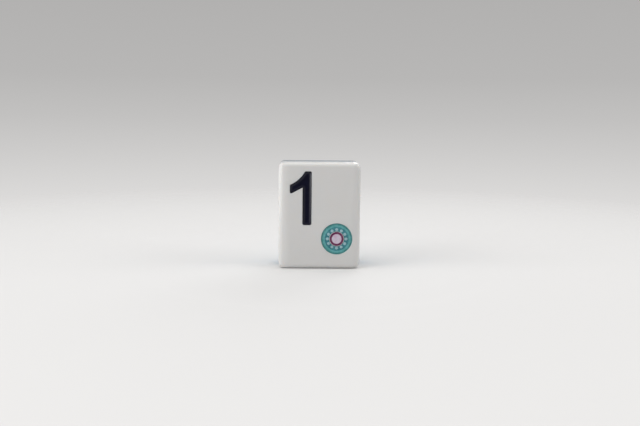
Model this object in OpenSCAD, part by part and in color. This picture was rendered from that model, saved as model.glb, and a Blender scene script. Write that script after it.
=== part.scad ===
// A mahjong tile, the one of circles, standing on its short edge with its face towards -Y.
// A white block carries the engraved face, a clear blue block makes the back, and a thin film
// of cement joins them. Each colour in the engraving is a separate fill of enamel.
// Millimetres. The origin is under the middle of the tile, on the surface that it stands on.

/* [Blocks] */
// Width of the tile
tile_w = 23; // [21:0.5:28]
// Height of the tile
tile_h = 30; // [28:0.5:38]
// Thickness of the tile from face to back
tile_t = 13; // [11:0.5:18]
// Thickness of the white face block
face_t = 5.9; // [4:0.1:8]
// Radius of the four upright corners and of the edges around the back
corner_r = 1.5; // [1.2:0.1:2.4]
// Rounding of the edges around the face
face_edge_r = 1.1; // [0.4:0.1:1.2]

/* [Cement film] */
// Thickness of the film between the blocks
film_t = 0.1; // [0.05:0.01:0.2]
// Distance that the film stays back from the outside of the tile
film_inset = 0.12; // [0.05:0.01:0.4]

/* [Engraving] */
// Depth of the numeral's groove below the face
numeral_depth = 0.7; // [0.5:0.05:1.2]
// Distance from the face down to the numeral's enamel
numeral_sink = 0.25; // [0.1:0.05:0.4]
// Depth of the circle's dark rings
groove_depth = 0.5; // [0.45:0.01:0.9]
// Depth of the circle's pale fields
field_depth = 0.32; // [0.26:0.01:0.42]
// Distance from the face down to the circle's enamels
circle_sink = 0.14; // [0.05:0.01:0.22]

/* [Numeral] */
// Height of the numeral
numeral_h = 15.1; // [10:0.1:17]
// Width of the numeral's stem
stem_w = 2.55; // [1.6:0.05:3.2]
// Width of the flat top of the stem
head_w = 1.85; // [1.1:0.05:2.2]
// Reach of the flag to the left of the stem
flag_reach = 3.55; // [2.5:0.05:4.2]
// Drop from the top of the numeral to the flag's blunt end
flag_drop = 3.8; // [3:0.05:4.5]
// Height of the flag's blunt end
flag_end_h = 2.65; // [1.6:0.05:3]
// Rise of the flag's lower edge from its end to the stem
flag_rise = 1.9; // [1:0.05:2.4]
// Radius of the flag's hollow upper edge
sweep_r = 9; // [7:0.5:30]
// Rounding of the numeral's corners
numeral_round_r = 0.45; // [0.2:0.05:0.6]
// Gap from the side of the tile to the flag's end
numeral_side_gap = 3.2; // [2:0.1:4]
// Gap from the top of the tile to the numeral
numeral_top_gap = 2.45; // [2:0.05:6]

/* [Circle] */
// Diameter of the whole circle
circle_d = 8.85; // [7.6:0.05:10]
// Width of the dark green rim
rim_ring_w = 0.5; // [0.3:0.05:0.8]
// Width of the pale green band inside the rim
band_ring_w = 0.55; // [0.3:0.05:0.8]
// Width of the dark teal ring that holds the beads
bead_ring_w = 1.25; // [1.05:0.05:1.4]
// Width of the bare white ring inside the bead ring
land_w = 0.15; // [0.1:0.05:0.6]
// Width of the magenta ring round the core
core_ring_w = 0.6; // [0.3:0.05:0.8]
// Diameter of a bead
bead_d = 0.84; // [0.5:0.02:0.96]
// Teal left between a bead and the inner edge of its ring
bead_edge_gap = 0.08; // [0.06:0.02:0.16]
// Number of beads
bead_count = 12; // [6:1:14]
// Gap from the side of the tile to the circle
circle_side_gap = 2.15; // [1.3:0.05:2.6]
// Gap from the foot of the tile to the circle
circle_foot_gap = 4.15; // [1.5:0.05:6]

/* [Hidden] */
$fn = 96;
// Overrun of every cut past the face that it opens
cut_overrun = 0.3;

back_t = tile_t - face_t - film_t;
inner_w = tile_w - 2 * corner_r;
inner_h = tile_h - 2 * corner_r;
face_joint_y = face_t - tile_t / 2;
back_joint_y = face_joint_y + film_t;

stem_x = numeral_side_gap + flag_reach - tile_w / 2;
numeral_y = tile_h / 2 - numeral_top_gap - numeral_h;
head_point = [stem_w - head_w, numeral_h];
flag_top_point = [-flag_reach, numeral_h - flag_drop];
flag_foot_point = flag_top_point - [0, flag_end_h];
armpit_point = [0, flag_foot_point.y + flag_rise];

rim_r = circle_d / 2;
band_r = rim_r - rim_ring_w;
bead_ring_r = band_r - band_ring_w;
land_r = bead_ring_r - bead_ring_w;
core_r = land_r - land_w;
disc_r = core_r - core_ring_w;
bead_pitch_r = land_r + bead_edge_gap + bead_d / 2;
circle_x = tile_w / 2 - circle_side_gap - rim_r;
circle_y = circle_foot_gap + rim_r - tile_h / 2;

// Centre of the arc of radius r that sags to the right of the line from a to b
function arc_centre(a, b, r) =
    let (chord = b - a, along = chord / norm(chord), rise = sqrt(r * r - chord * chord / 4))
    (a + b) / 2 + rise * [along.y, -along.x];

// Puts a shape drawn with its back on the film and its outside upwards on the face side
module face_side() {
    translate([0, face_joint_y, tile_h / 2])
        rotate([90, 0, 0])
            children();
}

// The same for the back side
module back_side() {
    translate([0, back_joint_y, tile_h / 2])
        rotate([90, 0, 180])
            children();
}

// Section of the outer strip of a block, with its upper outer edge rounded
module edge_section(depth, reach, edge_r) {
    difference() {
        square([reach, depth]);
        if (edge_r > 0)
            translate([reach - edge_r, depth - edge_r])
                difference() {
                    square(edge_r + cut_overrun);
                    circle(r = edge_r);
                }
    }
}

// A plate with the tile's outline: a core, then a side strip and a quarter turn at each corner
module rounded_plate(depth, reach, edge_r) {
    translate([-inner_w / 2, -inner_h / 2, 0])
        cube([inner_w, inner_h, depth]);
    for (side = [0 : 3]) {
        outward = side % 2 == 0 ? inner_w : inner_h;
        along = side % 2 == 0 ? inner_h : inner_w;
        rotate([0, 0, 90 * side])
            translate([outward / 2, along / 2, 0]) {
                rotate([90, 0, 0])
                    linear_extrude(along)
                        edge_section(depth, reach, edge_r);
                rotate_extrude(angle = 90)
                    edge_section(depth, reach, edge_r);
            }
    }
}

// Cut for an engraved shape
module engraved(depth) {
    translate([0, 0, face_t - depth])
        linear_extrude(depth + cut_overrun)
            children();
}

// Enamel that lies on the floor of an engraved shape
module enamel(depth, sink) {
    translate([0, 0, face_t - depth])
        linear_extrude(depth - sink)
            children();
}

module numeral_shape() {
    translate([stem_x, numeral_y])
        offset(r = numeral_round_r)
            offset(delta = -numeral_round_r)
                difference() {
                    polygon([[0, 0], [stem_w, 0], [stem_w, numeral_h], head_point,
                        flag_top_point, flag_foot_point, armpit_point]);
                    translate(arc_centre(head_point, flag_top_point, sweep_r))
                        circle(r = sweep_r);
                }
}

module ring_shape(outer_r, inner_r) {
    translate([circle_x, circle_y])
        difference() {
            circle(r = outer_r);
            circle(r = inner_r);
        }
}

module rim_ring_shape() {
    ring_shape(rim_r, band_r);
}

module band_ring_shape() {
    ring_shape(band_r, bead_ring_r);
}

module bead_shapes() {
    translate([circle_x, circle_y])
        for (bead = [0 : bead_count - 1])
            rotate(bead * 360 / bead_count)
                translate([bead_pitch_r, 0])
                    circle(d = bead_d);
}

module bead_ring_shape() {
    difference() {
        ring_shape(bead_ring_r, land_r);
        bead_shapes();
    }
}

module core_ring_shape() {
    ring_shape(core_r, disc_r);
}

module core_disc_shape() {
    translate([circle_x, circle_y])
        circle(r = disc_r);
}

// White block with the engraving cut into its face
module face_block() {
    color("#EBE9E5")
        face_side()
            difference() {
                rounded_plate(face_t, corner_r, face_edge_r);
                engraved(numeral_depth) numeral_shape();
                engraved(groove_depth) rim_ring_shape();
                engraved(field_depth) band_ring_shape();
                engraved(groove_depth) bead_ring_shape();
                engraved(field_depth) bead_shapes();
                engraved(groove_depth) core_ring_shape();
                engraved(field_depth) core_disc_shape();
            }
}

// Film of cement, a hair smaller than the blocks that it joins
module cement_film() {
    color("#C9DCE4")
        face_side()
            translate([0, 0, -film_t])
                rounded_plate(film_t, corner_r - film_inset, 0);
}

// Clear blue block, with ball corners at the back
module back_block() {
    color("#2C86B4")
        back_side()
            rounded_plate(back_t, corner_r, corner_r);
}

module numeral_paint() {
    color("#14142A")
        face_side()
            enamel(numeral_depth, numeral_sink) numeral_shape();
}

module rim_ring_paint() {
    color("#3C7D73")
        face_side()
            enamel(groove_depth, circle_sink) rim_ring_shape();
}

module band_ring_paint() {
    color("#6EAFAA")
        face_side()
            enamel(field_depth, circle_sink) band_ring_shape();
}

module bead_ring_paint() {
    color("#2D6E78")
        face_side()
            enamel(groove_depth, circle_sink) bead_ring_shape();
}

module bead_paint() {
    color("#A9CBCB")
        face_side()
            enamel(field_depth, circle_sink) bead_shapes();
}

module core_ring_paint() {
    color("#6E2850")
        face_side()
            enamel(groove_depth, circle_sink) core_ring_shape();
}

module core_disc_paint() {
    color("#DCAFC8")
        face_side()
            enamel(field_depth, circle_sink) core_disc_shape();
}

face_block();
cement_film();
back_block();
numeral_paint();
rim_ring_paint();
band_ring_paint();
bead_ring_paint();
bead_paint();
core_ring_paint();
core_disc_paint();
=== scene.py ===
import math
import bmesh
import bpy
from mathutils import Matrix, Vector


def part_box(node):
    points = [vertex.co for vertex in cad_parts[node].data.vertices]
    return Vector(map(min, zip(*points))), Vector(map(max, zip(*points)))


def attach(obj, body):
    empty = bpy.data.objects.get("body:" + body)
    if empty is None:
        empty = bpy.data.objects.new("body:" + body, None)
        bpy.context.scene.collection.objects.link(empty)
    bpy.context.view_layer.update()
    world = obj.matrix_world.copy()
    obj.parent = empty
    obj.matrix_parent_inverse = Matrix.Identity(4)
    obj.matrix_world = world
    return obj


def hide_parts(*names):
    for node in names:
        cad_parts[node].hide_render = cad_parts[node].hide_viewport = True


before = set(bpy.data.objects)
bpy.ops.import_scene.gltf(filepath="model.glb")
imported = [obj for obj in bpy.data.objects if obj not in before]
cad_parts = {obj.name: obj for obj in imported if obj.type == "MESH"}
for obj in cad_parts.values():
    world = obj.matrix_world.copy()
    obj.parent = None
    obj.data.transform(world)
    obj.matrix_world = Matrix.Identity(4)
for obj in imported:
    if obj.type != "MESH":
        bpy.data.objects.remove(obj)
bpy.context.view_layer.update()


# White face block, as a blank. The real one is sawn from white acrylic sheet and milled to its
# outline, with round corners and a round edge about the face. Tumbling crowns its long edges, the
# left one more, and blunts its corners. Its flat rear is cemented to the blue block.
mm = 0.001
corner_r = 1.5 * mm
corner_segments = 16
face_edge_r = 1.1 * mm
face_edge_segments = 12
joint_edge_r = 0.06 * mm
joint_edge_segments = 2
left = -1
right = 1
crown_w = {left: 2.95 * mm, right: 2.05 * mm}
crown_drop = {left: 0.75 * mm, right: 0.36 * mm}
crown_steps = 6
worn_w = 1.8 * mm
worn_depth = 1.6 * mm
worn_reach = 2 * mm
wear_share = 0.5
wear_passes = 14
round_profile = 0.5
flat_tolerance = 0.001 * mm
straight_share = 0.999
face_low, face_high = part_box("face_block")
face_middle = (face_low + face_high) / 2
face_y = face_low.y


def add_block(name, low, high):
    """Adds a box between two corners, with its place in its mesh, and opens it in edit mode."""
    bpy.ops.object.select_all(action="DESELECT")
    bpy.ops.mesh.primitive_cube_add(size=1, location=(low + high) / 2, scale=high - low)
    bpy.ops.object.transform_apply(location=True, rotation=True, scale=True)
    block = bpy.context.object
    block.name = name
    block.data.name = name
    bpy.ops.object.mode_set(mode="EDIT")
    return block


def pick(kind, test):
    """Selects the vertices, edges or faces of the piece in edit mode that pass a test."""
    bpy.ops.mesh.select_mode(type=kind)
    bpy.ops.mesh.select_all(action="DESELECT")
    mesh = bpy.context.object.data
    shape = bmesh.from_edit_mesh(mesh)
    for item in {"VERT": shape.verts, "EDGE": shape.edges, "FACE": shape.faces}[kind]:
        if test(item):
            item.select_set(True)
    bmesh.update_edit_mesh(mesh)


def in_plane(item, y):
    """Whether all the corners of an edge or a face lie in the upright plane at y."""
    return all(abs(corner.co.y - y) < flat_tolerance for corner in item.verts)


def runs_through(edge):
    """Whether an edge runs straight through the tile, from face to back."""
    along = edge.verts[1].co - edge.verts[0].co
    return abs(along.y) > straight_share * along.length


def round_edges(test, radius, segments):
    """Rounds the edges of the piece in edit mode that pass a test."""
    pick("EDGE", test)
    bpy.ops.mesh.bevel(offset=radius, segments=segments, profile=round_profile, affect="EDGES")


def at_worn_corner(corner):
    """Whether a vertex lies at one of the four corners of the face."""
    across = abs(corner.co.x) > face_high.x - worn_w
    upright = abs(corner.co.z - face_middle.z) > face_high.z - face_middle.z - worn_w
    return across and upright and corner.co.y < face_y + worn_depth


face_block = add_block("face_block_white", face_low, face_high)
round_edges(runs_through, corner_r, corner_segments)
round_edges(lambda edge: in_plane(edge, face_y), face_edge_r, face_edge_segments)
round_edges(lambda edge: in_plane(edge, face_high.y), joint_edge_r, joint_edge_segments)
for side in (left, right):
    crown_start = face_high.x - crown_w[side]
    for step in range(crown_steps):
        line = crown_start + (crown_w[side] - face_edge_r) * step / crown_steps
        bpy.ops.mesh.select_all(action="SELECT")
        bpy.ops.mesh.bisect(plane_co=(side * line, 0, 0), plane_no=(1, 0, 0))
    blank = bmesh.from_edit_mesh(face_block.data)
    for corner in blank.verts:
        near_side = max(0, side * corner.co.x - crown_start) / crown_w[side]
        near_front = max(0, 1 - (corner.co.y - face_y) / face_edge_r)
        corner.co.y += crown_drop[side] * near_side ** 2 * near_front
    bmesh.update_edit_mesh(face_block.data)
for height in (face_low.z + worn_reach, face_high.z - worn_reach):
    bpy.ops.mesh.select_all(action="SELECT")
    bpy.ops.mesh.bisect(plane_co=(0, 0, height), plane_no=(0, 0, 1))
pick("VERT", at_worn_corner)
bpy.ops.mesh.vertices_smooth(factor=wear_share, repeat=wear_passes)
pick("FACE", lambda face: in_plane(face, face_y))
bpy.ops.mesh.delete(type="FACE")
bpy.ops.object.mode_set(mode="OBJECT")


# Outline of the numeral, drawn once for its groove and for its enamel. On the real tile it is
# the path of a round cutter, so its corners are round: a stem, a head, and a flag that reaches
# down to the left under a hollow sweep.
stem_w = 2.55 * mm
head_w = 1.85 * mm
flag_drop = 3.8 * mm
flag_end_h = 2.65 * mm
flag_rise = 1.9 * mm
sweep_r = 9 * mm
sweep_steps = 8
numeral_round_r = 0.45 * mm
numeral_round_segments = 6
find_r = 0.01 * mm
numeral_low, numeral_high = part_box("numeral_paint")


def on_face(x, z, depth=0):
    """A place on the tile's face, or some depth below it."""
    return Vector((x, face_y + depth, z))


def draw_line(name, points):
    """Draws a line through points as a new piece, vertex by vertex, and leaves it in edit mode."""
    bpy.ops.object.select_all(action="DESELECT")
    bpy.ops.mesh.primitive_plane_add(size=mm, location=points[0])
    bpy.ops.object.transform_apply(location=True, rotation=True, scale=True)
    line = bpy.context.object
    line.name = name
    line.data.name = name
    bpy.ops.object.mode_set(mode="EDIT")
    bpy.ops.mesh.select_mode(type="VERT")
    bpy.ops.mesh.select_all(action="SELECT")
    bpy.ops.mesh.merge(type="CENTER")
    for start, end in zip(points, points[1:]):
        bpy.ops.mesh.extrude_vertices_move(TRANSFORM_OT_translate={"value": end - start})
    return line


foot_left = on_face(numeral_high.x - stem_w, numeral_low.z)
foot_right = on_face(numeral_high.x, numeral_low.z)
head_right = on_face(numeral_high.x, numeral_high.z)
head_left = on_face(numeral_high.x - head_w, numeral_high.z)
flag_top = on_face(numeral_low.x, numeral_high.z - flag_drop)
flag_foot = flag_top - Vector((0, 0, flag_end_h))
armpit = on_face(foot_left.x, flag_foot.z + flag_rise)
chord = flag_top - head_left
inward = chord.cross(Vector((0, 1, 0))).normalized()
sweep = []
for step in range(1, sweep_steps):
    along = (step / sweep_steps - 0.5) * chord.length
    sag = math.sqrt(sweep_r ** 2 - along ** 2) - math.sqrt(sweep_r ** 2 - chord.length ** 2 / 4)
    sweep.append(head_left + chord * (step / sweep_steps) + inward * sag)

corners = [foot_left, foot_right, head_right, head_left, *sweep, flag_top, flag_foot, armpit]
rounded = [foot_left, foot_right, head_right, head_left, flag_top, flag_foot]


def numeral_shape(name, spread):
    """Draws the numeral flat on the face, spread outwards by a width, and opens it in edit mode."""
    outline = []
    rounds = []
    for before, corner, after in zip(corners[-1:] + corners, corners, corners[1:] + corners[:1]):
        sides = [(corner - before).normalized(), (after - corner).normalized()]
        outwards = [side.cross(Vector((0, -1, 0))) for side in sides]
        shift = (outwards[0] + outwards[1]) / (1 + outwards[0].dot(outwards[1]))
        outline.append(corner + shift * spread)
        if corner in rounded:
            half_angle = (before - corner).angle(after - corner) / 2
            rounds.append((outline[-1], (numeral_round_r + spread) / math.tan(half_angle)))
    shape = draw_line(name, outline)
    bpy.ops.mesh.select_all(action="SELECT")
    bpy.ops.mesh.edge_face_add()
    pick("FACE", lambda face: face.normal.y > 0)
    bpy.ops.mesh.flip_normals()
    for place, reach in rounds:
        pick("VERT", lambda corner: (corner.co - place).length < find_r)
        bpy.ops.mesh.bevel(offset=reach, segments=numeral_round_segments, affect="VERTICES")
    pick("FACE", lambda face: True)
    return shape


# Numeral groove. The real one is engraved into the face by a round cutter and its rim is
# softened by the polishing. It is shaped here and let into the face further on, with the
# circle's grooves.
lip_r = 0.08 * mm
lip_steps = 4
numeral_depth = 0.7 * mm
lip = []
for step in range(lip_steps + 1):
    turn = math.pi / 2 * step / lip_steps
    lip.append((lip_r * (1 - math.sin(turn)), lip_r * (1 - math.cos(turn))))

numeral_groove = numeral_shape("numeral_groove", lip_r)
for (reach, depth), (next_reach, next_depth) in zip(lip, lip[1:]):
    bpy.ops.mesh.inset(thickness=reach - next_reach, depth=depth - next_depth)
bpy.ops.mesh.extrude_region_move(TRANSFORM_OT_translate={"value": (0, numeral_depth - lip_r, 0)})
bpy.ops.object.mode_set(mode="OBJECT")


# Circle grooves. On the real tile they are turned into the face with a formed cutter: a wide
# ring groove outside, a thin bare land that stays up at face height, and a round well in the
# middle, all with soft rims.
rim_ring_w = 0.5 * mm
band_ring_w = 0.55 * mm
bead_ring_w = 1.25 * mm
land_w = 0.15 * mm
core_ring_w = 0.6 * mm
groove_depth = 0.5 * mm
circle_steps = 144
weld_gap = 0.0005 * mm
circle_low, circle_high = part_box("rim_ring_paint")
circle_centre = (circle_low + circle_high) / 2
rim_r = (circle_high.x - circle_low.x) / 2
band_r = rim_r - rim_ring_w
bead_ring_r = band_r - band_ring_w
land_r = bead_ring_r - bead_ring_w
core_r = land_r - land_w
disc_r = core_r - core_ring_w


def turn_section(name, section, centre, steps):
    """Turns a line of (radius, depth below the face) pairs about an axis square to the face."""
    line = [on_face(centre.x + radius, centre.z, depth) for radius, depth in section]
    turned = draw_line(name, line)
    axis_place = on_face(centre.x, centre.z)
    bpy.ops.mesh.select_all(action="SELECT")
    bpy.ops.mesh.spin(steps=steps, angle=2 * math.pi, center=axis_place, axis=(0, 1, 0))
    bpy.ops.mesh.select_all(action="SELECT")
    bpy.ops.mesh.remove_doubles(threshold=weld_gap)
    bpy.ops.mesh.normals_make_consistent(inside=False)
    bpy.ops.object.mode_set(mode="OBJECT")
    return turned


circle_grooves = turn_section(
    "circle_grooves",
    [(rim_r + reach, depth) for reach, depth in lip]
    + [(rim_r, groove_depth), (land_r, groove_depth)]
    + [(land_r - reach, depth) for reach, depth in reversed(lip)]
    + [(core_r + reach, depth) for reach, depth in lip]
    + [(core_r, groove_depth), (0, groove_depth)],
    circle_centre,
    circle_steps,
)


# White face block, finished. The grooves are let into the blank and the polished face closes
# round them in one plane. The acrylic is solid white, faintly translucent, with hairlines and
# smudges from the table; towards the back it has painted blue light, as if from the blue block.
flat_border_w = 0.02 * mm
block_smooth_angle = 50
white = (0.81, 0.80, 0.785, 1)
white_shade = (0.80, 0.789, 0.772, 1)
white_rubbed = (0.84, 0.833, 0.82, 1)
white_gloss = 0.22
white_dull = 0.27
# Painted blue light: the white is tinted blue near the back, as if lit through the blue block.
painted_blue_light = (0.52, 0.68, 0.78, 1)
painted_blue_light_share = 0.5
painted_blue_light_reach = 1.1 * mm
painted_blue_light_fade = 2
glow_share = 0.5
glow_reach = (1, 0.9, 0.8)
glow_depth = 1 * mm
hairlines_per_metre = 9000
hairline_stretch = 50
hairline_tilts = (math.radians(24), math.radians(-38))
hairline_turn_x = 0.2
hairline_turn_z = 0.3
hairline_limits = (0.72, 0.8)
hairline_dulling = 0.06
hairline_depth = 0.15
smudges_per_metre = 260
smudge_limits = (0.3, 0.75)
smudge_share = 0.35
rubs_per_metre = 1400
rub_w = 0.45 * mm
rub_full = 0.3
rub_limits = (0.4, 0.75)
rub_dulling = 0.12
rub_share = 0.3
waves_per_metre = 260
wave_height = 0.02 * mm
wave_strength = 0.1
acrylic_ior = 1.49

bpy.ops.object.select_all(action="DESELECT")
for part in (numeral_groove, circle_grooves, face_block):
    part.select_set(True)
bpy.context.view_layer.objects.active = face_block
bpy.ops.object.join()
bpy.ops.object.mode_set(mode="EDIT")
pick("EDGE", lambda edge: edge.is_boundary and in_plane(edge, face_y))
bpy.ops.mesh.fill(use_beauty=True)
bpy.ops.mesh.select_all(action="SELECT")
bpy.ops.mesh.remove_doubles(threshold=weld_gap)
bpy.ops.mesh.normals_make_consistent(inside=False)
pick("FACE", lambda face: in_plane(face, face_y))
bpy.ops.mesh.inset(thickness=flat_border_w)
bpy.ops.object.mode_set(mode="OBJECT")


def smooth(piece, angle):
    """Shades a piece smooth up to an angle in degrees, with its broad flats kept flat."""
    bpy.ops.object.select_all(action="DESELECT")
    piece.select_set(True)
    bpy.context.view_layer.objects.active = piece
    bpy.ops.object.shade_smooth_by_angle(angle=math.radians(angle))
    flats = piece.modifiers.new("flats", "WEIGHTED_NORMAL")
    flats.keep_sharp = True
    bpy.ops.object.modifier_apply(modifier="flats")


def new_material(name, piece):
    """Gives a piece a new material and returns its node tree and its shader."""
    material = bpy.data.materials.new(name)
    material.use_nodes = True
    piece.data.materials.clear()
    piece.data.materials.append(material)
    return material.node_tree, material.node_tree.nodes["Principled BSDF"]


def add_node(tree, kind, inputs, **settings):
    """Adds a node with its settings, and with values or other nodes' outputs on its inputs."""
    node = tree.nodes.new(kind)
    for name, value in settings.items():
        setattr(node, name, value)
    for name, value in inputs.items():
        if isinstance(value, bpy.types.NodeSocket):
            tree.links.new(value, node.inputs[name])
        else:
            node.inputs[name].default_value = value
    return node


def ramp(tree, value, start, end, low=0, high=1):
    """Spreads the stretch of a value from start to end over low to high, and stops there."""
    inputs = {"Value": value, "From Min": start, "From Max": end, "To Min": low, "To Max": high}
    return add_node(tree, "ShaderNodeMapRange", inputs).outputs["Result"]


def combine(tree, operation, first, second):
    """Two values put together by an operation of the Math node."""
    return add_node(tree, "ShaderNodeMath", {0: first, 1: second}, operation=operation).outputs[0]


def offset(tree, operation, first, second=(0, 0, 0)):
    """Two places put together by an operation of the Vector Math node."""
    node = add_node(tree, "ShaderNodeVectorMath", {0: first, 1: second}, operation=operation)
    return node.outputs[0]


def blend(tree, share, first, second):
    """A colour that goes from the first to the second as the share rises."""
    # The Mix node has its colours on the inputs 6 and 7 and on the output 2.
    inputs = {"Factor": share, 6: first, 7: second}
    return add_node(tree, "ShaderNodeMix", inputs, data_type="RGBA").outputs[2]


def grain(tree, place, scale, detail):
    """Cloudy noise at a place, with a scale in grains for each metre."""
    inputs = {"Vector": place, "Scale": scale, "Detail": detail}
    return add_node(tree, "ShaderNodeTexNoise", inputs).outputs["Fac"]


def own_place(tree):
    """The place of a point in its own piece, which is its place in the tile."""
    return tree.nodes.new("ShaderNodeTexCoord").outputs["Object"]


def new_group(name, inputs, outputs):
    """Starts a shader node group with named sockets and returns it with its two ends."""
    group = bpy.data.node_groups.new(name, "ShaderNodeTree")
    for socket, kind in inputs.items():
        group.interface.new_socket(socket, in_out="INPUT", socket_type=kind)
    for socket, kind in outputs.items():
        group.interface.new_socket(socket, in_out="OUTPUT", socket_type=kind)
    start = group.nodes.new("NodeGroupInput").outputs
    end = group.nodes.new("NodeGroupOutput").inputs
    return group, start, end


number = "NodeSocketFloat"
vector = "NodeSocketVector"

polish_marks, _, marks_out = new_group(
    "polish_marks", {}, {"Hairlines": number, "Smudges": number, "Waves": number}
)
place = own_place(polish_marks)
hairlines = []
for tilt in hairline_tilts:
    turned = add_node(
        polish_marks,
        "ShaderNodeMapping",
        {
            "Vector": place,
            "Rotation": (hairline_turn_x, tilt, hairline_turn_z),
            "Scale": (1, 1, hairline_stretch),
        },
        vector_type="TEXTURE",
    )
    strands = grain(polish_marks, turned.outputs["Vector"], hairlines_per_metre, detail=1)
    hairlines.append(ramp(polish_marks, strands, *hairline_limits))
polish_marks.links.new(combine(polish_marks, "MAXIMUM", *hairlines), marks_out["Hairlines"])
smudges = grain(polish_marks, place, smudges_per_metre, detail=2)
polish_marks.links.new(ramp(polish_marks, smudges, *smudge_limits), marks_out["Smudges"])
polish_marks.links.new(grain(polish_marks, place, waves_per_metre, detail=1), marks_out["Waves"])

edge_rub, rub_in, rub_out = new_group(
    "edge_rub", {"Centre": vector, "Half size": vector, "Width": number}, {"Rub": number}
)
place = own_place(edge_rub)
from_centre = offset(edge_rub, "ABSOLUTE", offset(edge_rub, "SUBTRACT", place, rub_in["Centre"]))
gaps = offset(edge_rub, "SUBTRACT", rub_in["Half size"], from_centre)
gap_x, gap_y, gap_z = add_node(edge_rub, "ShaderNodeSeparateXYZ", {"Vector": gaps}).outputs
least = combine(edge_rub, "MINIMUM", combine(edge_rub, "MINIMUM", gap_x, gap_y), gap_z)
most = combine(edge_rub, "MAXIMUM", combine(edge_rub, "MAXIMUM", gap_x, gap_y), gap_z)
all_gaps = combine(edge_rub, "ADD", combine(edge_rub, "ADD", gap_x, gap_y), gap_z)
middle = combine(edge_rub, "SUBTRACT", combine(edge_rub, "SUBTRACT", all_gaps, least), most)
near_edge = ramp(edge_rub, combine(edge_rub, "DIVIDE", middle, rub_in["Width"]), 1, rub_full)
patches = ramp(edge_rub, grain(edge_rub, place, rubs_per_metre, detail=3), *rub_limits)
edge_rub.links.new(combine(edge_rub, "MULTIPLY", near_edge, patches), rub_out["Rub"])


def polished(tree, shader, low, high, gloss, dull):
    """Gives a block between two corners its polish and marks, and returns smudges and rub."""
    marks = add_node(tree, "ShaderNodeGroup", {}, node_tree=polish_marks).outputs
    box = {"Centre": (low + high) / 2, "Half size": (high - low) / 2, "Width": rub_w}
    rub = add_node(tree, "ShaderNodeGroup", box, node_tree=edge_rub).outputs["Rub"]
    roughness = ramp(tree, marks["Smudges"], 0, 1, gloss, dull)
    dulled = combine(tree, "MULTIPLY", marks["Hairlines"], hairline_dulling)
    roughness = combine(tree, "ADD", roughness, dulled)
    dulled = combine(tree, "MULTIPLY", rub, rub_dulling)
    roughness = combine(tree, "ADD", roughness, dulled)
    tree.links.new(roughness, shader.inputs["Roughness"])
    scratches = combine(tree, "MULTIPLY", marks["Hairlines"], hairline_depth)
    height = combine(tree, "SUBTRACT", marks["Waves"], scratches)
    bump_inputs = {"Strength": wave_strength, "Distance": wave_height, "Height": height}
    bump = add_node(tree, "ShaderNodeBump", bump_inputs)
    tree.links.new(bump.outputs["Normal"], shader.inputs["Normal"])
    shader.inputs["IOR"].default_value = acrylic_ior
    return marks["Smudges"], rub


smooth(face_block, block_smooth_angle)
tree, shader = new_material("white_acrylic", face_block)
smudges, rub = polished(tree, shader, face_low, face_high, white_gloss, white_dull)
place_y = add_node(tree, "ShaderNodeSeparateXYZ", {"Vector": own_place(tree)}).outputs["Y"]
# Painted blue light: a blue tint that grows towards the back of the white, where light through the
# blue block would fall.
painted_blue_light_mask = ramp(tree, place_y, face_high.y - painted_blue_light_reach, face_high.y)
painted_blue_light_mask = combine(tree, "POWER", painted_blue_light_mask, painted_blue_light_fade)
colour = blend(tree, combine(tree, "MULTIPLY", smudges, smudge_share), white, white_shade)
colour = blend(tree, combine(tree, "MULTIPLY", rub, rub_share), colour, white_rubbed)
colour = blend(tree, combine(tree, "MULTIPLY", painted_blue_light_mask, painted_blue_light_share), colour, painted_blue_light)
tree.links.new(colour, shader.inputs["Base Color"])
shader.inputs["Subsurface Weight"].default_value = glow_share
shader.inputs["Subsurface Radius"].default_value = glow_reach
shader.inputs["Subsurface Scale"].default_value = glow_depth
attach(face_block, "root")
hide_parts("face_block")


# Numeral enamel. The real one is dark navy enamel flooded into the groove and wiped flush, and
# in drying it sinks to a trough that climbs the walls up to the rim. It looks wet where it climbs
# and is dull in the middle and along the wiped rim.
rim_loop = 0.07 * mm
rim_loops = 4
cell = 0.15 * mm
trough_w = stem_w / 2
trough_depth = 0.45 * mm
trough_bend = 2.5
navy = (0.0018, 0.002, 0.012, 1)
navy_thin = (0.004, 0.0042, 0.018, 1)
navy_gloss = 0.3
navy_specular = 0.1
wet_limits = (0.2, 0.45)
wet_coat = 0.5
wiped_limits = (0.6, 0.95)
coat_wiped_off = 0.45
coat_roughness = 0.18
pools_per_metre = 900
pool_limits = (0.35, 0.65)
pool_dulling = 0.12
ripples_per_metre = 2400
ripple_height = 0.02 * mm
ripple_strength = 0.3
enamel_smooth_angle = 60


def distance_to_line(point, line):
    """The least distance from a point to a closed line of points."""
    least = math.inf
    for start, end in zip(line, line[1:] + line[:1]):
        side = end - start
        share = max(0, min(1, (point - start).dot(side) / side.length_squared))
        least = min(least, (point - start - side * share).length)
    return least


numeral_paint = numeral_shape("numeral_enamel", 0)
outline = bmesh.from_edit_mesh(numeral_paint.data)
outline.faces.ensure_lookup_table()
rim_line = [corner.co.copy() for corner in outline.faces[0].verts]
bpy.ops.mesh.extrude_region_move(TRANSFORM_OT_translate={"value": (0, numeral_depth, 0)})
pick("FACE", lambda face: in_plane(face, face_y))
for loop in range(rim_loops):
    bpy.ops.mesh.inset(thickness=rim_loop)
bpy.ops.mesh.hide(unselected=True)
for count in range(1, int((numeral_high.x - numeral_low.x) / cell)):
    bpy.ops.mesh.select_all(action="SELECT")
    bpy.ops.mesh.bisect(plane_co=on_face(numeral_low.x + count * cell, 0), plane_no=(1, 0, 0))
for count in range(1, int((numeral_high.z - numeral_low.z) / cell)):
    bpy.ops.mesh.select_all(action="SELECT")
    bpy.ops.mesh.bisect(plane_co=on_face(0, numeral_low.z + count * cell), plane_no=(0, 0, 1))
bpy.ops.mesh.reveal()
trough = bmesh.from_edit_mesh(numeral_paint.data)
climb = trough.verts.layers.float.new("climb")
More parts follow.
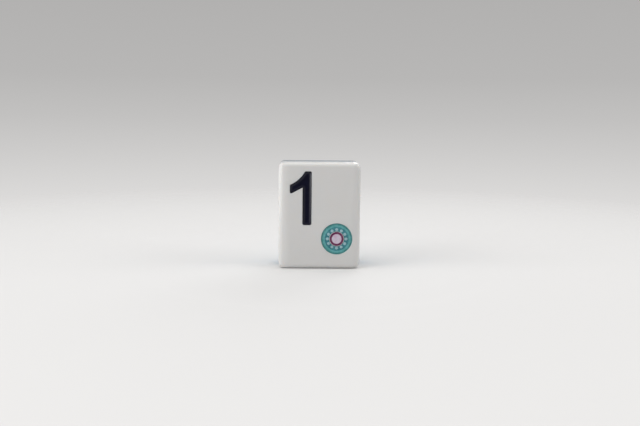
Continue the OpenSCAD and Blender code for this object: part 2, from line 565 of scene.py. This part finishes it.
for corner in trough.verts:
    if corner.co.y < face_y + lip_r:
        share = min(1, distance_to_line(corner.co, rim_line) / trough_w)
        corner.co.y += lip_r + trough_depth * (1 - (1 - share) ** trough_bend)
        corner[climb] = (1 - share) ** (trough_bend - 1)
bmesh.update_edit_mesh(numeral_paint.data)
bpy.ops.mesh.select_all(action="SELECT")
bpy.ops.mesh.normals_make_consistent(inside=False)
bpy.ops.object.mode_set(mode="OBJECT")
smooth(numeral_paint, enamel_smooth_angle)

enamel_flow, _, flow_out = new_group("enamel_flow", {}, {"Pooling": number, "Ripple": number})
place = own_place(enamel_flow)
pools = ramp(enamel_flow, grain(enamel_flow, place, pools_per_metre, detail=3), *pool_limits)
enamel_flow.links.new(pools, flow_out["Pooling"])
enamel_flow.links.new(grain(enamel_flow, place, ripples_per_metre, detail=2), flow_out["Ripple"])


def enamel(name, piece, deep, thin, gloss):
    """Glossy enamel that goes from a deep to a thin colour where it pooled less."""
    tree, shader = new_material(name, piece)
    flow = add_node(tree, "ShaderNodeGroup", {}, node_tree=enamel_flow).outputs
    tree.links.new(blend(tree, flow["Pooling"], deep, thin), shader.inputs["Base Color"])
    roughness = ramp(tree, flow["Pooling"], 0, 1, gloss, gloss + pool_dulling)
    tree.links.new(roughness, shader.inputs["Roughness"])
    bump_inputs = {"Strength": ripple_strength, "Distance": ripple_height, "Height": flow["Ripple"]}
    bump = add_node(tree, "ShaderNodeBump", bump_inputs)
    tree.links.new(bump.outputs["Normal"], shader.inputs["Normal"])
    return tree, shader


tree, shader = enamel("navy_enamel", numeral_paint, navy, navy_thin, navy_gloss)
climbing = add_node(tree, "ShaderNodeAttribute", {}, attribute_name="climb").outputs["Fac"]
wet_climb = ramp(tree, climbing, *wet_limits, high=wet_coat)
wiped_rim = ramp(tree, climbing, *wiped_limits, high=coat_wiped_off)
tree.links.new(combine(tree, "SUBTRACT", wet_climb, wiped_rim), shader.inputs["Coat Weight"])
shader.inputs["Coat Roughness"].default_value = coat_roughness
shader.inputs["Specular IOR Level"].default_value = navy_specular
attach(numeral_paint, "root")
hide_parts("numeral_paint")


# Rim, band and core rings. Each is a ring of glossy enamel run into its groove with a fine
# dropper, one colour after another: dark green, pale green and, round the core, magenta. Each
# dries to a shallow hollow that clings to its walls.
enamel_floor = 0.42 * mm
rim_edge = 0.08 * mm
band_edge = 0.06 * mm
ring_sag = 0.06 * mm
top_steps = 8
enamel_gloss = 0.2
rim_green = (0.05, 0.24, 0.235, 1)
rim_green_thin = (0.07, 0.29, 0.29, 1)
band_green = (0.095, 0.39, 0.385, 1)
band_green_thin = (0.13, 0.44, 0.46, 1)
magenta = (0.14, 0.016, 0.08, 1)
magenta_thin = (0.18, 0.024, 0.1, 1)


def hollow_top(outer, inner, edge):
    """The top of a ring of enamel, which sags between its outer and its inner wall."""
    top = []
    for step in range(top_steps + 1):
        share = step / top_steps
        top.append((outer + (inner - outer) * share, edge + ring_sag * (1 - (2 * share - 1) ** 2)))
    return top


def enamel_ring(name, outer, inner, edge):
    """A closed ring of enamel between two radii."""
    walls = [(inner, enamel_floor), (outer, enamel_floor)]
    top = hollow_top(outer, inner, edge)
    return turn_section(name, top + walls + top[:1], circle_centre, circle_steps)


rim_ring = enamel_ring("rim_ring_enamel", rim_r, band_r, rim_edge)
smooth(rim_ring, enamel_smooth_angle)
enamel("green_enamel", rim_ring, rim_green, rim_green_thin, enamel_gloss)
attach(rim_ring, "root")
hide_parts("rim_ring_paint")

band_ring = enamel_ring("band_ring_enamel", band_r, bead_ring_r, band_edge)
smooth(band_ring, enamel_smooth_angle)
enamel("pale_green_enamel", band_ring, band_green, band_green_thin, enamel_gloss)
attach(band_ring, "root")
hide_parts("band_ring_paint")

core_ring = enamel_ring("core_ring_enamel", core_r, disc_r, rim_edge)
smooth(core_ring, enamel_smooth_angle)
enamel("magenta_enamel", core_ring, magenta, magenta_thin, enamel_gloss)
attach(core_ring, "root")
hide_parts("core_ring_paint")


# Core disc. A pool of pale pink enamel in the middle of the circle, dropped in last, inside the
# magenta ring. It dries to a shallow dish.
pink = (0.72, 0.52, 0.68, 1)
pink_thin = (0.70, 0.64, 0.75, 1)
dish = hollow_top(disc_r, -disc_r, band_edge)[: top_steps // 2 + 1]
core_section = [(0, enamel_floor), (disc_r, enamel_floor), *dish]
core_disc = turn_section("core_disc_enamel", core_section, circle_centre, circle_steps)
smooth(core_disc, enamel_smooth_angle)
enamel("pink_enamel", core_disc, pink, pink_thin, enamel_gloss)
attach(core_disc, "root")
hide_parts("core_disc_paint")


# Beads. Twelve separate drops of pale enamel in the teal ring, each set in a round well of its
# own and domed by its own skin as it dried. One drop is turned and then copied round the circle.
bead_d = 0.84 * mm
bead_edge_gap = 0.08 * mm
bead_count = 12
bead_floor = 0.45 * mm
bead_rise = 0.06 * mm
bead_steps = 6
bead_sides = 28
bead_pale = (0.33, 0.54, 0.6, 1)
bead_pale_thin = (0.4, 0.62, 0.68, 1)
bead_place = circle_centre + Vector((0, 0, land_r + bead_edge_gap + bead_d / 2))
dome = []
for step in range(bead_steps + 1):
    share = step / bead_steps
    dome.append((bead_d / 2 * share, rim_edge + bead_rise * (share ** 2 - 1)))
bead_section = [*dome, (bead_d / 2, bead_floor), (0, bead_floor)]
beads = turn_section("bead_enamel", bead_section, bead_place, bead_sides)
bpy.ops.object.mode_set(mode="EDIT")
bpy.ops.mesh.select_all(action="SELECT")
for count in range(1, bead_count):
    bpy.ops.mesh.duplicate()
    bpy.ops.transform.rotate(
        value=2 * math.pi / bead_count,
        orient_axis="Y",
        center_override=on_face(circle_centre.x, circle_centre.z),
    )
bpy.ops.object.mode_set(mode="OBJECT")
smooth(beads, enamel_smooth_angle)
enamel("pale_teal_enamel", beads, bead_pale, bead_pale_thin, enamel_gloss)
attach(beads, "root")
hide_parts("bead_paint")


# Bead ring. A broad ring of dark teal enamel that is run in round the beads, so it has a round
# well where each of them sits. It sags between its walls like the other rings.
teal = (0.03, 0.2, 0.24, 1)
teal_thin = (0.047, 0.26, 0.31, 1)
bead_ring = enamel_ring("bead_ring_enamel", bead_ring_r, land_r, rim_edge)
wells = bead_ring.modifiers.new("wells", "BOOLEAN")
wells.operation = "DIFFERENCE"
wells.object = beads
bpy.context.view_layer.objects.active = bead_ring
bpy.ops.object.modifier_apply(modifier="wells")
bpy.ops.object.mode_set(mode="EDIT")
bpy.ops.mesh.select_all(action="SELECT")
bpy.ops.mesh.remove_doubles(threshold=weld_gap)
bpy.ops.mesh.dissolve_degenerate(threshold=weld_gap)
bpy.ops.object.mode_set(mode="OBJECT")
smooth(bead_ring, enamel_smooth_angle)
enamel("teal_enamel", bead_ring, teal, teal_thin, enamel_gloss)
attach(bead_ring, "root")
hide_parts("bead_ring_paint")


# Cement film. The two halves of the real tile are bonded with a thin, slightly cloudy acrylic
# cement that stops just short of the outline, so that the joint shows as a hairline. Its rear
# is bedded in the blue block, as the solvent makes it.
film_bed = 0.03 * mm
film_corner_segments = 8
film_edge_r = 0.02 * mm
film_edge_segments = 2
film_gloss = 0.35
film_dull = 0.45
film_clear = (0.80, 0.80, 0.79, 1)
film_cloudy = (0.74, 0.76, 0.77, 1)
film_low, film_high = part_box("cement_film")
film = add_block("cement_film_bond", film_low, film_high + Vector((0, film_bed, 0)))
round_edges(runs_through, corner_r, film_corner_segments)
round_edges(lambda edge: in_plane(edge, film_low.y), film_edge_r, film_edge_segments)
bpy.ops.object.mode_set(mode="OBJECT")
smooth(film, block_smooth_angle)
tree, shader = new_material("cement", film)
clouds = add_node(tree, "ShaderNodeGroup", {}, node_tree=polish_marks).outputs["Smudges"]
tree.links.new(blend(tree, clouds, film_clear, film_cloudy), shader.inputs["Base Color"])
tree.links.new(ramp(tree, clouds, 0, 1, film_gloss, film_dull), shader.inputs["Roughness"])
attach(film, "root")
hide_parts("cement_film")


# Blue back block. The real one is clear blue acrylic, milled and tumbled like the face block but
# with a fuller round along its outer edges, and cemented to the white, which shows through it.
back_segments = 14
clear_tint = (0.93, 0.97, 1, 1)
blue_passed = (0, 0.7, 0.86, 1)
blue_density = 160
blue_gloss = 0.03
blue_dull = 0.08
back_low, back_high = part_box("back_block")
back_block = add_block("back_block_blue", back_low, back_high)
round_edges(lambda edge: runs_through(edge) or in_plane(edge, back_high.y), corner_r, back_segments)
round_edges(lambda edge: in_plane(edge, back_low.y), joint_edge_r, joint_edge_segments)
bpy.ops.object.mode_set(mode="OBJECT")
smooth(back_block, block_smooth_angle)
tree, shader = new_material("blue_acrylic", back_block)
polished(tree, shader, back_low, back_high, blue_gloss, blue_dull)
shader.inputs["Base Color"].default_value = clear_tint
shader.inputs["Transmission Weight"].default_value = 1
tint = add_node(tree, "ShaderNodeVolumeAbsorption", {"Color": blue_passed, "Density": blue_density})
tree.links.new(tint.outputs["Volume"], tree.nodes["Material Output"].inputs["Volume"])
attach(back_block, "root")
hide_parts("back_block")


# Floor. A pale matt sheet a hair below the tile's foot. It fades into the room's pale haze away
# from the tile, and throws less light back at the tile than its own paleness would.
floor_size = 0.8
floor_gap = 0.02 * mm
fade_start = 0.05
fade_end = 0.24
sheet_pale = (0.9, 0.89, 0.88, 1)
sheet_bounce = (0.5, 0.5, 0.5, 1)
sheet_roughness = 0.9
sheet_specular = 0.1


def seen_ray(tree):
    """1 where a ray comes from the camera, straight or by gloss or glass, and 0 elsewhere."""
    path = tree.nodes.new("ShaderNodeLightPath").outputs
    mirrored = combine(tree, "MAXIMUM", path["Is Glossy Ray"], path["Is Transmission Ray"])
    return combine(tree, "MAXIMUM", path["Is Camera Ray"], mirrored)


bpy.ops.object.select_all(action="DESELECT")
bpy.ops.mesh.primitive_plane_add(size=floor_size, location=(0, 0, -floor_gap))
floor = bpy.context.object
floor.name = "floor"
tree, shader = new_material("pale_sheet", floor)
tree.links.new(blend(tree, seen_ray(tree), sheet_bounce, sheet_pale), shader.inputs["Base Color"])
shader.inputs["Roughness"].default_value = sheet_roughness
shader.inputs["Specular IOR Level"].default_value = sheet_specular
away = add_node(tree, "ShaderNodeVectorMath", {0: own_place(tree)}, operation="LENGTH")
faded = ramp(tree, away.outputs["Value"], fade_start, fade_end)
haze = add_node(tree, "ShaderNodeMixShader", {"Fac": faded})
tree.links.new(shader.outputs[0], haze.inputs[1])
tree.links.new(tree.nodes.new("ShaderNodeBsdfTransparent").outputs[0], haze.inputs[2])
tree.links.new(haze.outputs[0], tree.nodes["Material Output"].inputs["Surface"])


# Room. An even soft light from all round. It is seen as a pale haze that is lightest below the
# horizon and darker higher up: painted shade, as on a backdrop sweep that gets less light higher
# up.
room_light = 0.32
haze_bottom = -0.4
haze_top = 0.2
painted_backdrop_shade = {
    0: 0.90,
    0.16: 0.885,
    0.32: 0.823,
    0.46: 0.745,
    0.6: 0.604,
    0.67: 0.539,
    0.76: 0.479,
    1: 0.43,
}
haze_tint = (1, 0.987, 0.976)
room = bpy.data.worlds.new("room")
room.use_nodes = True
tree = room.node_tree
place = tree.nodes.new("ShaderNodeTexCoord").outputs["Generated"]
rise = add_node(tree, "ShaderNodeSeparateXYZ", {"Vector": place}).outputs["Z"]
# Painted shade: the seen haze darkens upwards, as a lit backdrop sweep would.
backdrop_shade_ramp = add_node(tree, "ShaderNodeValToRGB", {"Fac": ramp(tree, rise, haze_bottom, haze_top)})
stops = backdrop_shade_ramp.color_ramp.elements
stops[0].position, stops[1].position = 0, 1
for share in list(painted_backdrop_shade)[1:-1]:
    stops.new(share)
for stop, tone in zip(stops, painted_backdrop_shade.values()):
    stop.color = (*(tone * tint for tint in haze_tint), 1)
seen = add_node(tree, "ShaderNodeBackground", {"Color": backdrop_shade_ramp.outputs["Color"], "Strength": 1})
light = tree.nodes["Background"]
light.inputs["Color"].default_value = (1, 1, 1, 1)
light.inputs["Strength"].default_value = room_light
either = add_node(tree, "ShaderNodeMixShader", {"Fac": seen_ray(tree)})
tree.links.new(light.outputs[0], either.inputs[1])
tree.links.new(seen.outputs[0], either.inputs[2])
tree.links.new(either.outputs[0], tree.nodes["World Output"].inputs["Surface"])
bpy.context.scene.world = room


# Lamps. A broad soft box overhead, a window-like one to the left and a little to the front, and
# weaker ones to the right and behind, which keep the other sides of the tile readable. The two
# low ones are toned down where they are seen straight through the clear blue.
soft_boxes = {
    "overhead_box": {"place": (-0.05, 0.04, 0.6), "size": 0.5, "power": 1.2, "through_blue": 1},
    "left_box": {"place": (-0.53, -0.24, 0.16), "size": 0.5, "power": 2.5, "through_blue": 0.25},
    "right_box": {"place": (0.55, -0.11, 0.22), "size": 0.4, "power": 1.2, "through_blue": 0.35},
    "back_box": {"place": (0.25, 0.6, 0.35), "size": 0.5, "power": 1.1, "through_blue": 1},
}
for name, box in soft_boxes.items():
    bpy.ops.object.light_add(type="AREA", location=box["place"])
    lamp = bpy.context.object
    lamp.name = name
    lamp.data.size = box["size"]
    lamp.data.energy = box["power"]
    lamp.rotation_euler = (face_middle - lamp.location).to_track_quat("-Z", "Y").to_euler()
    lamp.visible_camera = False
    lamp.data.use_nodes = True
    tree = lamp.data.node_tree
    path = tree.nodes.new("ShaderNodeLightPath").outputs
    straight = combine(tree, "LESS_THAN", path["Diffuse Depth"], 1)
    past_blue = combine(tree, "GREATER_THAN", path["Transmission Depth"], 0)
    seen_through = combine(tree, "MULTIPLY", straight, past_blue)
    strength = ramp(tree, seen_through, 0, 1, 1, box["through_blue"])
    tree.links.new(strength, tree.nodes["Emission"].inputs["Strength"])


# Camera. It stands before the face, a little to the left and above the tile, and looks slightly
# down on it, with its horizon a little out of level.
stand_back = 198.6 * mm
stand_left = math.radians(1.3)
aim_x = 0.17 * mm
eye_height = 42 * mm
look_down = math.radians(7.48)
lean = math.radians(0.55)
sensor_w = 36
lens_length = 40.23
nearest_seen = 1 * mm
farthest_seen = 10
eye_x = aim_x - stand_back * math.sin(stand_left)
bpy.ops.object.camera_add(location=on_face(eye_x, eye_height, -stand_back * math.cos(stand_left)))
camera = bpy.context.object
camera.rotation_euler = (math.pi / 2 - look_down, -lean, lean * math.sin(look_down) - stand_left)
camera.data.sensor_width = sensor_w
camera.data.lens = lens_length
camera.data.clip_start = nearest_seen
camera.data.clip_end = farthest_seen
bpy.context.scene.camera = camera
bpy.context.scene.view_settings.view_transform = "Standard"
